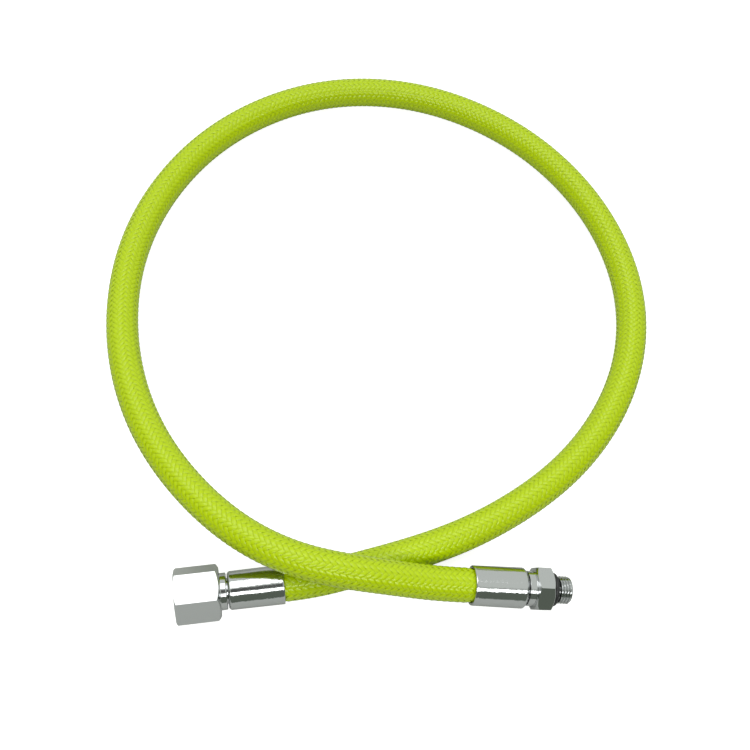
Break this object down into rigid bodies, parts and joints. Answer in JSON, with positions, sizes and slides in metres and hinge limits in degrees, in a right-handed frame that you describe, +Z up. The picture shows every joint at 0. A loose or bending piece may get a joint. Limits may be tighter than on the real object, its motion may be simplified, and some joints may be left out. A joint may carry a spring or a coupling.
{
  "type": "regulator hose",
  "caption": "Braided low-pressure breathing hose in a loose loop, with a screwed male end fitting and a free-turning union nut.",
  "frame": {"origin": "on the table, under the middle of the box round the two end fittings", "axes": "+X runs from the union nut to the male end, +Y from the fittings into the loop of hose, +Z up"},
  "size_m": [0.214, 0.2436, 0.0266],
  "materials": {
    "cover_yarn": "glossy fluorescent yellow-green braided polyester yarn",
    "strength_yarn": "undyed matt braided polyester yarn",
    "liner_polyurethane": "smooth milky polyurethane",
    "ferrule_chrome": "bright chrome plate on crimped brass, unmarked",
    "fitting_chrome": "bright chrome plate on turned brass",
    "black_rubber": "satin black nitrile rubber"
  },
  "bodies": {
    "hose_assembly": {"hose_cover_braid": "cover_yarn", "hose_reinforcement_braid": "strength_yarn", "hose_liner_tube": "liner_polyurethane", "male_end_ferrule": "ferrule_chrome", "male_stem": "fitting_chrome", "port_o_ring": "black_rubber", "union_end_ferrule": "ferrule_chrome", "union_stem": "fitting_chrome", "nose_o_ring": "black_rubber"},
    "union_nut": {"union_nut": "fitting_chrome"}
  },
  "joints": [
    {"name": "union_nut_spin", "type": "hinge", "parent": "hose_assembly", "child": "union_nut", "pos_m": [-0.06003, -0.00072, 0.0085], "axis": [-0.9899, -0.1414, 0], "continuous": true}
  ]
}
